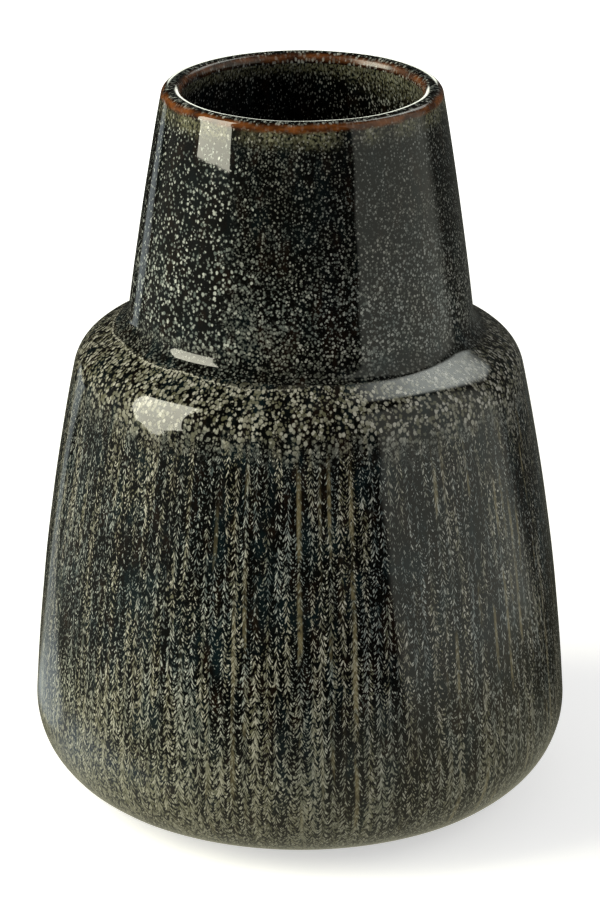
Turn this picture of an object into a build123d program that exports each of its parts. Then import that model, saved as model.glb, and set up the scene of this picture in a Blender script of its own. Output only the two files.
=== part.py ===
from build123d import *
import os
from math import cos, radians, sin, sqrt

# Bottle vase in glazed stoneware, made in two sections that are luted together:
# a squat body with a sloping shoulder, and a tall tapering neck seated on it.
# Every piece is turned about Z from a half section drawn as radius and height, in millimetres.
# The vase stands on its foot ring at Z = 0.

# Finished outside, measured over the glaze
height = 200.0
belly_diameter = 147.2
base_corner_radius = 24.3
wall_bow_radius = 671.0
shoulder_radius = 12.1
shoulder_slope_length = 9.4
shoulder_fall_degrees = 29.3
seam_diameter = 94.3
seam_height = 134.3
seam_fillet_radius = 6.0
neck_bow_radius = 1095.0
lip_diameter = 74.6
lip_outer_edge_radius = 2.4
lip_inner_edge_radius = 2.4

# Walls, measured through the clay and the glaze on both sides
neck_wall = 5.6
body_wall = 6.0
floor_thickness = 7.2
inner_corner_radius = 17.0
inner_seam_radius = 2.0
glaze = 0.7

# Foot ring, bare clay
foot_diameter = 95.0
foot_width = 6.0
foot_edge_radius = 0.8
foot_height = 1.5
glaze_setback = 1.6

# Luted joint between the two sections
seat_depth = 2.6
slip_layer = 0.4
coil_width = 3.2

UP = Vector(0, 0, 1)


def point(radius, z):
    return Vector(radius, 0, z)


def beyond(center, other, distance):
    """The point at a distance from a center, on the side away from the other point."""
    return center + (center - other).normalized() * distance


def circles_meet(center_a, radius_a, center_b, radius_b):
    """The crossing of two circles that lies to the right of the way from a to b."""
    way = center_b - center_a
    reach = (radius_a**2 - radius_b**2 + way.length**2) / (2 * way.length)
    ahead = way.normalized()
    right = Vector(ahead.Z, 0, -ahead.X)
    return center_a + ahead * reach + right * sqrt(radius_a**2 - reach**2)


def on_level(z, center, radius):
    """The outer point at a height z on a circle."""
    return point(center.X + sqrt(radius**2 - (z - center.Z) ** 2), z)


# Directions along the shoulder slope, outward and down, and square to it
fall = radians(shoulder_fall_degrees)
downslope = Vector(cos(fall), 0, -sin(fall))
off_slope = Vector(sin(fall), 0, cos(fall))

# Sharp corner where the neck would meet the slope, and the long bow of the neck
seam_corner = point(seam_diameter / 2, seam_height)
lip_corner = point(lip_diameter / 2, height)
neck_center = circles_meet(lip_corner, neck_bow_radius, seam_corner, neck_bow_radius)


def on_slope(depth, neck_distance):
    """The point at a depth under the shoulder slope and a distance from the neck's bow center."""
    start = seam_corner - off_slope * depth - neck_center
    along = start.dot(downslope)
    step = sqrt(along**2 - start.length**2 + neck_distance**2) - along
    return neck_center + start + downslope * step


# Centers of the other rounds of the section
clay_inner_neck = neck_bow_radius - neck_wall + glaze
clay_outer_neck = neck_bow_radius - glaze
floor_height = foot_height + glaze + floor_thickness
lip_outer_edge = min(lip_outer_edge_radius, neck_wall - lip_inner_edge_radius)
slope_end = seam_corner + downslope * shoulder_slope_length
shoulder_center = slope_end - off_slope * shoulder_radius
base_center = point(belly_diameter / 2 - base_corner_radius, foot_height + base_corner_radius)
wall_center = circles_meet(
    shoulder_center, wall_bow_radius - shoulder_radius, base_center, wall_bow_radius - base_corner_radius
)
seam_center = on_slope(-seam_fillet_radius, neck_bow_radius + seam_fillet_radius)
outer_edge_center = on_level(height - lip_outer_edge, neck_center, neck_bow_radius - lip_outer_edge)
inner_edge_center = on_level(
    height - lip_inner_edge_radius, neck_center, neck_bow_radius - neck_wall + lip_inner_edge_radius
)
inner_seam_center = on_slope(body_wall - glaze - inner_seam_radius, clay_inner_neck + inner_seam_radius)
inner_corner_center = on_level(
    floor_height + inner_corner_radius, wall_center, wall_bow_radius - body_wall - inner_corner_radius
)


def skin(depth):
    """The whole surface at a depth in it, from the underside over the lip to the middle of the inner floor.

    Each stroke has the point where it starts and the center that it turns about, or None if it is straight.
    """
    base = base_corner_radius - depth
    shoulder = shoulder_radius - depth
    seam = seam_fillet_radius + depth
    outer_edge = lip_outer_edge - depth
    inner_edge = lip_inner_edge_radius - depth
    inner_seam = inner_seam_radius + glaze - depth
    inner_shoulder = shoulder_radius - body_wall + depth
    inner_corner = inner_corner_radius + depth
    return {
        "underside": (point(0, foot_height + depth), None),
        "base": (base_center - UP * base, base_center),
        "wall": (beyond(base_center, wall_center, base), wall_center),
        "shoulder": (beyond(shoulder_center, wall_center, shoulder), shoulder_center),
        "slope": (shoulder_center + off_slope * shoulder, None),
        "seam": (seam_center - off_slope * seam, seam_center),
        "neck": (beyond(seam_center, neck_center, -seam), neck_center),
        "lip_outer_edge": (beyond(outer_edge_center, neck_center, outer_edge), outer_edge_center),
        "lip_top": (outer_edge_center + UP * outer_edge, None),
        "lip_inner_edge": (inner_edge_center + UP * inner_edge, inner_edge_center),
        "inner_neck": (beyond(inner_edge_center, neck_center, -inner_edge), neck_center),
        "inner_seam": (beyond(inner_seam_center, neck_center, -inner_seam), inner_seam_center),
        "inner_slope": (inner_seam_center - off_slope * inner_seam, None),
        "inner_shoulder": (shoulder_center + off_slope * inner_shoulder, shoulder_center),
        "inner_wall": (beyond(shoulder_center, wall_center, inner_shoulder), wall_center),
        "inner_corner": (beyond(inner_corner_center, wall_center, inner_corner), inner_corner_center),
        "floor": (inner_corner_center - UP * inner_corner, None),
        "floor_middle": (point(0, floor_height - depth), None),
    }


def arc(center, start, end):
    """The short arc about a center from start to end."""
    middle = (start - center).normalized() + (end - center).normalized()
    return ThreePointArc(start, center + middle.normalized() * (start - center).length, end)


def strokes(surface, first, last):
    """The lines and arcs of a surface from the start of one stroke to the start of another."""
    names = list(surface)
    run = names[names.index(first) : names.index(last) + 1]
    made = []
    for name, following in zip(run, run[1:]):
        start, center = surface[name]
        end = surface[following][0]
        made.append(Line(start, end) if center is None else arc(center, start, end))
    return made


def turned(section):
    """The solid of revolution about Z of a closed half section."""
    return revolve(make_face(section), Axis.Z).solid()


def coat(first, last):
    """A glaze coat from the start of one stroke of the surface to the start of another."""
    over, under = skin(0), skin(glaze)
    ends = [Line(over[name][0], under[name][0]) for name in (first, last)]
    return turned(strokes(over, first, last) + strokes(under, first, last) + ends)


# Corners of the luted joint: the seat sunk in the slope, the neck's heel on it, and the groove for the coil
clay = skin(glaze)
seat_inner = on_slope(seat_depth, clay_inner_neck)
seat_outer = on_slope(seat_depth, clay_outer_neck)
heel_inner = on_slope(seat_depth - slip_layer, clay_inner_neck)
heel_outer = on_slope(seat_depth - slip_layer, clay_outer_neck)
groove_foot = seat_outer + downslope * coil_width
groove_top = groove_foot + off_slope * (seat_depth - glaze)


def foot_ring():
    """The turned ring that the vase stands on, with eased edges, sunk into the floor that carries it."""
    ring_height = foot_height + glaze + floor_thickness / 2
    ring = Cylinder(foot_diameter / 2, ring_height) - Cylinder(foot_diameter / 2 - foot_width, ring_height)
    ring = Pos(0, 0, ring_height / 2) * ring
    standing_edges = ring.edges().filter_by(GeomType.CIRCLE).group_by(Axis.Z)[0]
    return fillet(standing_edges, foot_edge_radius)


def body_section():
    """Floor, wall and shoulder in one thrown piece, with the seat for the neck and the coil's groove."""
    slope_start = clay["slope"][0]
    inner_seam_start = clay["inner_seam"][0]
    joint = [
        Line(slope_start, groove_top),
        Line(groove_top, groove_foot),
        Line(groove_foot, seat_inner),
        arc(neck_center, seat_inner, inner_seam_start),
    ]
    outside = strokes(clay, "underside", "slope")
    inside = strokes(clay, "inner_seam", "floor_middle")
    axis_side = [Line(clay["floor_middle"][0], clay["underside"][0])]
    return (turned(outside + joint + inside + axis_side) + foot_ring()).solid()


def neck_section():
    """The tapering neck with its lip, and a heel cut to the slope of the shoulder."""
    outside = [arc(neck_center, heel_outer, clay["lip_outer_edge"][0])]
    lip = strokes(clay, "lip_outer_edge", "inner_neck")
    inside = [arc(neck_center, clay["inner_neck"][0], heel_inner)]
    return turned(outside + lip + inside + [Line(heel_inner, heel_outer)])


def luting_slip():
    """The layer of slip between the neck's heel and its seat."""
    sides = [arc(neck_center, seat_inner, heel_inner), arc(neck_center, seat_outer, heel_outer)]
    return turned([Line(seat_inner, seat_outer), Line(heel_inner, heel_outer)] + sides)


def luting_coil():
    """The coil of clay packed in the groove round the heel and smoothed to a hollow in the angle."""
    seam_start = clay["seam"][0]
    hollow = strokes(clay, "seam", "neck")
    against_neck = [arc(neck_center, clay["neck"][0], seat_outer)]
    groove = [Line(seat_outer, groove_foot), Line(groove_foot, groove_top), Line(groove_top, seam_start)]
    return turned(hollow + against_neck + groove)


def body_glaze():
    """The coat on the shoulder, wall and base corner, wiped back from the foot ring."""
    wiped = Cylinder(foot_diameter / 2 + glaze_setback, base_center.Z)
    return (coat("underside", "seam") - Pos(0, 0, base_center.Z / 2) * wiped).solid()


PIECES = {
    "body_section": body_section(),
    "neck_section": neck_section(),
    "luting_slip": luting_slip(),
    "luting_coil": luting_coil(),
    "body_glaze": body_glaze(),
    "neck_glaze": coat("seam", "lip_outer_edge"),
    "lip_glaze": coat("lip_outer_edge", "inner_neck"),
    "liner_glaze": coat("inner_neck", "floor_middle"),
}

os.makedirs("parts", exist_ok=True)
for name, piece in PIECES.items():
    export_step(piece, f"parts/{name}.step")
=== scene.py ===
"""Looks of a glazed stoneware bottle vase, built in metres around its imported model."""

from math import ceil, cos, pi, radians, sin, sqrt

import bpy
import numpy as np
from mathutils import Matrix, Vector


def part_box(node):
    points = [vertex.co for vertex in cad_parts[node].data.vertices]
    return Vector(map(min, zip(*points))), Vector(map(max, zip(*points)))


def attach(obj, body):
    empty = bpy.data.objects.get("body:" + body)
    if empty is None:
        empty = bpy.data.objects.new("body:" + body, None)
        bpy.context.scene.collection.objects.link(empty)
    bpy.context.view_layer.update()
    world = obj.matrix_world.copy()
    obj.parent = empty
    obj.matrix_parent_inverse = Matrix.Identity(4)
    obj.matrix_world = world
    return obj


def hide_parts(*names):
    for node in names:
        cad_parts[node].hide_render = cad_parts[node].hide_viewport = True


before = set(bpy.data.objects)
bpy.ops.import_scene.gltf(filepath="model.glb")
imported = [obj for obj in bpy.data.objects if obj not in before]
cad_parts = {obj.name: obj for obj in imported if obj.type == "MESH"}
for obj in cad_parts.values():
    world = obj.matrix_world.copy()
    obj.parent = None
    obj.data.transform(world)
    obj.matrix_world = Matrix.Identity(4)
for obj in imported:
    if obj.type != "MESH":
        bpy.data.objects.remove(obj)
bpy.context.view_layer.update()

MM = 0.001

# Finished surface of the vase, over the glaze
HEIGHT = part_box("lip_glaze")[1].z
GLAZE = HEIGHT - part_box("neck_section")[1].z
BELLY_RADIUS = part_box("body_glaze")[1].x
BASE_CORNER_RADIUS = 24.3 * MM
WALL_BOW_RADIUS = 671 * MM
SHOULDER_RADIUS = 12.1 * MM
SHOULDER_SLOPE_LENGTH = 9.4 * MM
SHOULDER_FALL = radians(29.3)
SEAM_RADIUS = 47.15 * MM
SEAM_HEIGHT = 134.3 * MM
SEAM_FILLET_RADIUS = 6.0 * MM
NECK_BOW_RADIUS = 1095 * MM
LIP_RADIUS = 37.3 * MM
LIP_OUTER_EDGE_RADIUS = 2.4 * MM
LIP_INNER_EDGE_RADIUS = 2.4 * MM
NECK_WALL = 5.6 * MM
BODY_WALL = 6.0 * MM
FLOOR_THICKNESS = 7.2 * MM
INNER_CORNER_RADIUS = 17.0 * MM
INNER_SEAM_RADIUS = 2.0 * MM
FOOT_HEIGHT = 1.5 * MM
WIPED_RADIUS = 49.1 * MM

# Fineness of the coats
COLUMNS = 400
SEEN_SPACING = 0.9 * MM
HIDDEN_SPACING = 5.0 * MM
LEAST_STEPS = 8
LEAST_LENGTH = 1e-20

# Hand-thrown unevenness: how far the axis wanders to the right, by height,
# how much the shoulder falls to the right, by height,
# how deep the glaze pooled in the seam on the heavy side, how far down from it, and where it is deepest,
# a faint lump under the shoulder, and how far the surface swells, which starts just above the foot.
# The heavy side is where the glaze lies thickest.
AXIS_HEIGHTS = [0, 60 * MM, 122 * MM, 138 * MM, HEIGHT]
AXIS_DRIFT = [0.10 * MM, -0.10 * MM, -0.30 * MM, 0.25 * MM, 0.62 * MM]
TILT = 0.007
TILT_HEIGHTS = [60 * MM, 118 * MM, 140 * MM, 190 * MM]
TILT_SHARES = [0, 1, 1, 0]
POOL_DEPTH = 0.6 * MM
POOL_BELOW = 4.5 * MM
POOL_PEAK = 0.35
POOL_SIDE = [0.2, 0.75]
LUMP = 0.4 * MM
LUMP_SIZE = 5.5 * MM
LUMP_PLACE = (-38.2 * MM, -48 * MM, 114.8 * MM)
SWELL = 0.025 * MM
SWELL_LENGTH = 26 * MM
SWELL_WAVES = 7
SWELL_STRETCH = (0.6, 1.5)
SWELL_SEED = 11
SWELL_FADE = 4 * MM
HEAVY_SIDE = Vector((-0.87, -0.5))


# Section of the skin, as radius and height

def point(radius, z):
    return Vector((radius, z))


def beyond(center, other, distance):
    """The point at a distance from a center, on the side away from the other point."""
    return center + (center - other).normalized() * distance


def circles_meet(center_a, radius_a, center_b, radius_b):
    """The crossing of two circles that lies to the right of the way from a to b."""
    way = center_b - center_a
    reach = (radius_a**2 - radius_b**2 + way.length_squared) / (2 * way.length)
    ahead = way.normalized()
    right = Vector((ahead.y, -ahead.x))
    return center_a + ahead * reach + right * sqrt(radius_a**2 - reach**2)


def on_level(z, center, radius):
    """The outer point at a height z on a circle."""
    return point(center.x + sqrt(radius**2 - (z - center.y) ** 2), z)


UP = Vector((0, 1))
DOWNSLOPE = Vector((cos(SHOULDER_FALL), -sin(SHOULDER_FALL)))
OFF_SLOPE = Vector((sin(SHOULDER_FALL), cos(SHOULDER_FALL)))
SEAM_CORNER = point(SEAM_RADIUS, SEAM_HEIGHT)
LIP_CORNER = point(LIP_RADIUS, HEIGHT)
NECK_CENTER = circles_meet(LIP_CORNER, NECK_BOW_RADIUS, SEAM_CORNER, NECK_BOW_RADIUS)


def on_slope(depth, neck_distance):
    """The point at a depth under the shoulder slope and a distance from the neck's bow center."""
    start = SEAM_CORNER - OFF_SLOPE * depth - NECK_CENTER
    along = start.dot(DOWNSLOPE)
    step = sqrt(along**2 - start.length_squared + neck_distance**2) - along
    return NECK_CENTER + start + DOWNSLOPE * step


INNER_NECK = NECK_BOW_RADIUS - NECK_WALL
FLOOR_HEIGHT = FOOT_HEIGHT + GLAZE + FLOOR_THICKNESS
SHOULDER_CENTER = SEAM_CORNER + DOWNSLOPE * SHOULDER_SLOPE_LENGTH - OFF_SLOPE * SHOULDER_RADIUS
BASE_CENTER = point(BELLY_RADIUS - BASE_CORNER_RADIUS, FOOT_HEIGHT + BASE_CORNER_RADIUS)
WALL_CENTER = circles_meet(
    SHOULDER_CENTER, WALL_BOW_RADIUS - SHOULDER_RADIUS, BASE_CENTER, WALL_BOW_RADIUS - BASE_CORNER_RADIUS
)
SEAM_CENTER = on_slope(-SEAM_FILLET_RADIUS, NECK_BOW_RADIUS + SEAM_FILLET_RADIUS)
OUTER_EDGE_CENTER = on_level(
    HEIGHT - LIP_OUTER_EDGE_RADIUS, NECK_CENTER, NECK_BOW_RADIUS - LIP_OUTER_EDGE_RADIUS
)
INNER_EDGE_CENTER = on_level(HEIGHT - LIP_INNER_EDGE_RADIUS, NECK_CENTER, INNER_NECK + LIP_INNER_EDGE_RADIUS)
INNER_SEAM_CENTER = on_slope(BODY_WALL - GLAZE - INNER_SEAM_RADIUS, INNER_NECK + GLAZE + INNER_SEAM_RADIUS)
INNER_CORNER_CENTER = on_level(
    FLOOR_HEIGHT + INNER_CORNER_RADIUS, WALL_CENTER, WALL_BOW_RADIUS - BODY_WALL - INNER_CORNER_RADIUS
)
ROLL_CENTER = point(WIPED_RADIUS + GLAZE, FOOT_HEIGHT + GLAZE)


def skin(depth):
    """The surface at a depth in it, from the rolled edge at the foot over the lip to the middle of the floor.

    Each stroke has the point where it starts and the center that it turns about, or None if it is straight.
    """
    roll = GLAZE - depth
    base = BASE_CORNER_RADIUS - depth
    shoulder = SHOULDER_RADIUS - depth
    seam = SEAM_FILLET_RADIUS + depth
    outer_edge = LIP_OUTER_EDGE_RADIUS - depth
    inner_edge = LIP_INNER_EDGE_RADIUS - depth
    inner_seam = INNER_SEAM_RADIUS + GLAZE - depth
    inner_shoulder = SHOULDER_RADIUS - BODY_WALL + depth
    inner_corner = INNER_CORNER_RADIUS + depth
    return {
        "rolled_edge": (ROLL_CENTER - Vector((roll, 0)), ROLL_CENTER),
        "base": (ROLL_CENTER - UP * roll, BASE_CENTER),
        "wall": (beyond(BASE_CENTER, WALL_CENTER, base), WALL_CENTER),
        "shoulder": (beyond(SHOULDER_CENTER, WALL_CENTER, shoulder), SHOULDER_CENTER),
        "slope": (SHOULDER_CENTER + OFF_SLOPE * shoulder, None),
        "seam": (SEAM_CENTER - OFF_SLOPE * seam, SEAM_CENTER),
        "neck": (beyond(SEAM_CENTER, NECK_CENTER, -seam), NECK_CENTER),
        "lip_outer_edge": (beyond(OUTER_EDGE_CENTER, NECK_CENTER, outer_edge), OUTER_EDGE_CENTER),
        "lip_top": (OUTER_EDGE_CENTER + UP * outer_edge, None),
        "lip_inner_edge": (INNER_EDGE_CENTER + UP * inner_edge, INNER_EDGE_CENTER),
        "inner_neck": (beyond(INNER_EDGE_CENTER, NECK_CENTER, -inner_edge), NECK_CENTER),
        "inner_seam": (beyond(INNER_SEAM_CENTER, NECK_CENTER, -inner_seam), INNER_SEAM_CENTER),
        "inner_slope": (INNER_SEAM_CENTER - OFF_SLOPE * inner_seam, None),
        "inner_shoulder": (SHOULDER_CENTER + OFF_SLOPE * inner_shoulder, SHOULDER_CENTER),
        "inner_wall": (beyond(SHOULDER_CENTER, WALL_CENTER, inner_shoulder), WALL_CENTER),
        "inner_corner": (beyond(INNER_CORNER_CENTER, WALL_CENTER, inner_corner), INNER_CORNER_CENTER),
        "floor": (INNER_CORNER_CENTER - UP * inner_corner, None),
        "floor_middle": (point(0, FLOOR_HEIGHT - depth), None),
    }


def stroke_points(start, end, center, spacing):
    """Points along a stroke, with its start and without its end."""
    if center is None:
        count = max(LEAST_STEPS, ceil((end - start).length / spacing))
        return [start.lerp(end, step / count) for step in range(count)]
    first, last = start - center, end - center
    sweep = first.angle_signed(last, 0)
    count = max(LEAST_STEPS, ceil(abs(sweep) * first.length / spacing))
    across = Vector((-first.y, first.x))
    made = []
    for step in range(count):
        share = step / count
        turn = -sweep * share
        reach = 1 + (last.length / first.length - 1) * share if first.length else 1
        made.append(center + (first * cos(turn) + across * sin(turn)) * reach)
    return made


class Section:
    """The skin at a depth as rows of points.

    It keeps the row where each stroke starts, and the run of the surface up to each row.
    """

    def __init__(self, depth, spacing):
        surface = skin(depth)
        names = list(surface)
        points = []
        self.start = {}
        for name, following in zip(names, names[1:]):
            self.start[name] = len(points)
            begin, center = surface[name]
            points += stroke_points(begin, surface[following][0], center, spacing)
        self.start[names[-1]] = len(points)
        points.append(surface[names[-1]][0])
        self.rows = np.array(points)
        steps = np.linalg.norm(np.diff(self.rows, axis=0), axis=1)
        self.run = np.concatenate([[0], np.cumsum(steps)])


def swelling(positions):
    """Small soft waves over the surface, the same at every run of the script."""
    draws = np.random.default_rng(SWELL_SEED)
    total = np.zeros(positions.shape[:-1])
    for _ in range(SWELL_WAVES):
        direction = draws.normal(size=3)
        direction *= draws.uniform(*SWELL_STRETCH) / np.linalg.norm(direction)
        total += np.sin(positions @ direction * 2 * pi / SWELL_LENGTH + draws.uniform(0, 2 * pi))
    lump = np.exp(-(((positions - LUMP_PLACE) / LUMP_SIZE) ** 2).sum(-1) / 2)
    return total * SWELL * sqrt(2 / SWELL_WAVES) + LUMP * lump


ANGLES = np.arange(COLUMNS) * 2 * pi / COLUMNS


def softened(share):
    return share**2 * (3 - 2 * share)


def pooled(section):
    """How deep the glaze lies in the seam: most in the lower part of the hollow and on the heavy side."""
    low, high = section.run[section.start["seam"]], section.run[section.start["neck"]]
    peak = low + (high - low) * POOL_PEAK
    share = np.interp(section.run, [low - POOL_BELOW, peak, high], [0, 1, 0])
    toward_heavy = np.cos(ANGLES) * HEAVY_SIDE.x + np.sin(ANGLES) * HEAVY_SIDE.y
    side = np.interp(toward_heavy, POOL_SIDE, [0, 1])
    return POOL_DEPTH * softened(share)[:, None] * softened(side)


def turned_grid(section, pool):
    """Rows of points turned about the axis, with the unevenness of a hand-thrown pot, and their normals."""
    around = np.stack([np.cos(ANGLES), np.sin(ANGLES)], 1)
    radius, z = section.rows[:, 0], section.rows[:, 1]
    grid = np.empty((len(radius), COLUMNS, 3))
    grid[..., :2] = radius[:, None, None] * around
    grid[..., 2] = z[:, None]
    normals = surface_normals(grid)
    standing = np.clip((grid[..., 2] - FOOT_HEIGHT) / SWELL_FADE, 0, 1)
    grid += normals * (swelling(grid) * standing + pool)[..., None]
    grid[..., 2] -= grid[..., 0] * TILT * np.interp(z, TILT_HEIGHTS, TILT_SHARES)[:, None]
    grid[..., 2] = np.minimum(grid[..., 2], HEIGHT)
    grid[..., 0] += np.interp(z, AXIS_HEIGHTS, AXIS_DRIFT)[:, None]
    return grid, surface_normals(grid)


def surface_normals(grid):
    """Outward normals of a grid whose columns close round the axis and whose rows run up the outside."""
    sideways = np.roll(grid, -1, axis=1) - np.roll(grid, 1, axis=1)
    along = np.gradient(grid, axis=0)
    normals = np.cross(sideways, along)
    length = np.linalg.norm(normals, axis=-1, keepdims=True)
    return np.where(length > 0, normals / np.maximum(length, LEAST_LENGTH), (0, 0, 1))


SEEN = Section(0, SEEN_SPACING)
HIDDEN = Section(GLAZE, HIDDEN_SPACING)
SEEN_GRID, SEEN_NORMALS = turned_grid(SEEN, pooled(SEEN))
HIDDEN_GRID, HIDDEN_NORMALS = turned_grid(HIDDEN, 0.0)
RUN = {name: SEEN.run[row] / MM for name, row in SEEN.start.items()}


# Objects

def new_mesh(name, points, faces, material):
    mesh = bpy.data.meshes.new(name)
    mesh.from_pydata(points, [], faces)
    mesh.materials.append(material)
    return mesh


def linked(name, data):
    """A new object in the scene, with its mesh, lamp or camera."""
    made = bpy.data.objects.new(name, data)
    bpy.context.collection.objects.link(made)
    return made


# Coats of glaze

UV_MARGIN = 0.006
UV_HIDDEN_SHARE = 0.05
UV_HIDDEN_FILL = 0.9


def coat_rows(section, first, last):
    return slice(section.start[first], section.start[last] + 1)


def bake_places(run, hidden_count, strips):
    """Places on the bake sheet for each corner of the coat's faces.

    The seen side lies in stacked strips, and the rest below them.
    """
    wide = COLUMNS // strips
    column = np.arange(COLUMNS)
    left = (column % wide) / wide
    right = left + 1 / wide
    shelf = UV_HIDDEN_SHARE + (1 - UV_HIDDEN_SHARE) * (column // wide) / strips
    tall = (1 - UV_HIDDEN_SHARE) / strips
    share = (run - run[0]) / (run[-1] - run[0])
    share = UV_MARGIN + share * (1 - 2 * UV_MARGIN)
    seen = quad_corners(left, right, share[:-1], share[1:], shelf, tall)
    share = np.linspace(UV_MARGIN, 1 - UV_MARGIN, hidden_count + 1)
    whole = column / COLUMNS
    hidden_tall = UV_HIDDEN_SHARE * UV_HIDDEN_FILL
    hidden = quad_corners(whole, whole + 1 / COLUMNS, share[:-1], share[1:], whole * 0, hidden_tall)
    return np.concatenate([seen, hidden])


def quad_corners(left, right, low, high, shelf, tall):
    """Corner places of a grid of faces, row by row, with the strips' margins kept free."""
    u = UV_MARGIN + np.stack([left, right, right, left], -1)[None] * (1 - 2 * UV_MARGIN)
    v = np.stack([low, low, high, high], -1)[:, None] * tall + shelf[None, :, None]
    u, v = np.broadcast_arrays(u, v)
    return np.stack([u, v], -1).reshape(-1, 4, 2)


def coat_faces(row_count):
    """Corners of the faces of a tube whose rows close on themselves, row by row."""
    row = np.arange(row_count)[:, None]
    following = (row + 1) % row_count
    column = np.arange(COLUMNS)[None]
    beside = (column + 1) % COLUMNS
    low = [row * COLUMNS + column, row * COLUMNS + beside]
    high = [following * COLUMNS + beside, following * COLUMNS + column]
    return np.stack(low + high, -1).reshape(-1, 4)


def flow_places(run, ring_radius):
    """Where each point lies on a coat in millimetres: round a ring of even width, and along the run."""
    flow = np.empty((len(run), COLUMNS, 3))
    flow[..., 0] = ring_radius / MM * np.cos(ANGLES)
    flow[..., 1] = ring_radius / MM * np.sin(ANGLES)
    flow[..., 2] = run[:, None] / MM
    return flow


def glaze_coat(name, first, last, ring_radius, strips, material):
    """A closed coat from the start of one stroke of the skin to the start of another.

    The rows go along the seen side and come back along the side that lies on the clay.
    """
    seen, hidden = coat_rows(SEEN, first, last), coat_rows(HIDDEN, first, last)
    rows = np.concatenate([SEEN_GRID[seen], HIDDEN_GRID[hidden][::-1]])
    normals = np.concatenate([SEEN_NORMALS[seen], -HIDDEN_NORMALS[hidden][::-1]])
    run = SEEN.run[seen]
    hidden_count = len(rows) - len(run)
    hidden_run = np.interp(np.linspace(1, 0, hidden_count), [0, 1], run[[0, -1]])
    flow = flow_places(np.concatenate([run, hidden_run]), ring_radius)
    mesh = new_mesh(name, rows.reshape(-1, 3).tolist(), coat_faces(len(rows)).tolist(), material)
    attribute = mesh.attributes.new("glaze_flow", "FLOAT_VECTOR", "POINT")
    attribute.data.foreach_set("vector", flow.ravel())
    sheet = mesh.uv_layers.new(name="OFBake")
    sheet.data.foreach_set("uv", bake_places(run, hidden_count + 1, strips).ravel())
    mesh.shade_smooth()
    mesh.normals_split_custom_set_from_vertices(normals.reshape(-1, 3))
    return linked(name, mesh)


# Nodes of the materials

VECTOR = "NodeSocketVector"
VALUE = "NodeSocketFloat"
COLOR = "NodeSocketColor"


def tint(red, green, blue):
    """A colour given as it looks on screen, from 0 to 255, as the light that a shader takes."""
    parts = [part / 255 for part in (red, green, blue)]
    return tuple(p / 12.92 if p < 0.04045 else ((p + 0.055) / 1.055) ** 2.4 for p in parts) + (1.0,)


class Tree:
    """A node tree that is filled by plain calls, each of which gives the socket that it makes."""

    def __init__(self, tree):
        self.tree = tree

    def node(self, kind, inputs, **settings):
        made = self.tree.nodes.new(kind)
        for name, value in settings.items():
            setattr(made, name, value)
        for name, value in inputs.items():
            self.feed(made.inputs[name], value)
        return made

    def feed(self, socket, value):
        if isinstance(value, bpy.types.NodeSocket):
            self.tree.links.new(value, socket)
        else:
            socket.default_value = value

    def math(self, operation, a, b=0.0):
        return self.node("ShaderNodeMath", {0: a, 1: b}, operation=operation).outputs[0]

    def add(self, a, b):
        return self.math("ADD", a, b)

    def take(self, a, b):
        return self.math("SUBTRACT", a, b)

    def times(self, product, *others):
        for other in others:
            product = self.math("MULTIPLY", product, other)
        return product

    def most(self, a, b):
        return self.math("MAXIMUM", a, b)

    def vector(self, operation, a, b):
        return self.node("ShaderNodeVectorMath", {0: a, 1: b}, operation=operation).outputs[0]

    def combine(self, x, y, z):
        return self.node("ShaderNodeCombineXYZ", {"X": x, "Y": y, "Z": z}).outputs[0]

    def split(self, vector):
        return self.node("ShaderNodeSeparateXYZ", {0: vector}).outputs

    def soft_step(self, value, low, high):
        """0 up to low and 1 from high on, with a soft change between. Low may be the larger."""
        inputs = {"Value": value, "From Min": low, "From Max": high}
        made = self.node("ShaderNodeMapRange", inputs, interpolation_type="SMOOTHSTEP")
        return made.outputs["Result"]

    def step_past(self, value, mark, low, high):
        """The soft step with low and high counted from a mark."""
        return self.soft_step(value, mark + low, mark + high)

    def between(self, value, start, end):
        """1 between a soft start and a soft end, each a pair of low and high, and 0 outside them."""
        return self.times(self.soft_step(value, *start), self.soft_step(value, *end))

    def spread(self, value, low, high):
        """A share from 0 to 1 set out between two values."""
        inputs = {"Value": value, "To Min": low, "To Max": high}
        return self.node("ShaderNodeMapRange", inputs).outputs["Result"]

    def blend(self, share, a, b):
        """Colour a, going over to colour b as the share goes from 0 to 1."""
        return self.node("ShaderNodeMix", {0: share, 6: a, 7: b}, data_type="RGBA").outputs[2]

    def blend_value(self, share, a, b):
        """Value a, going over to value b as the share goes from 0 to 1."""
        return self.node("ShaderNodeMix", {0: share, 2: a, 3: b}).outputs[0]

    def noise(self, place, size, detail=1.0, output="Fac"):
        inputs = {"Vector": place, "Scale": 1 / size, "Detail": detail}
        return self.node("ShaderNodeTexNoise", inputs).outputs[output]

    def sway(self, place, size, reach, detail=1.0):
        """Noise that swings to both sides of 0, up to half of its reach."""
        return self.times(self.take(self.noise(place, size, detail), 0.5), reach)

    def drawn_out(self, flow, share):
        """A place whose pattern is drawn out along the run of the glaze."""
        return self.vector("MULTIPLY", flow, (1, 1, share))

    def cells(self, place):
        return self.node("ShaderNodeTexVoronoi", {"Vector": place, "Scale": 1.0}).outputs

    def group(self, name, **inputs):
        made = self.tree.nodes.new("ShaderNodeGroup")
        made.node_tree = bpy.data.node_groups[name]
        for label, value in inputs.items():
            self.feed(made.inputs[label], value)
        return made.outputs

    def specks(self, flow, size, fill, fray):
        """Specks of a size across and along the run of the glaze."""
        across, along = size
        return self.group("glaze_specks", Flow=flow, Across=across, Along=along, Fill=fill, Fray=fray)


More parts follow.
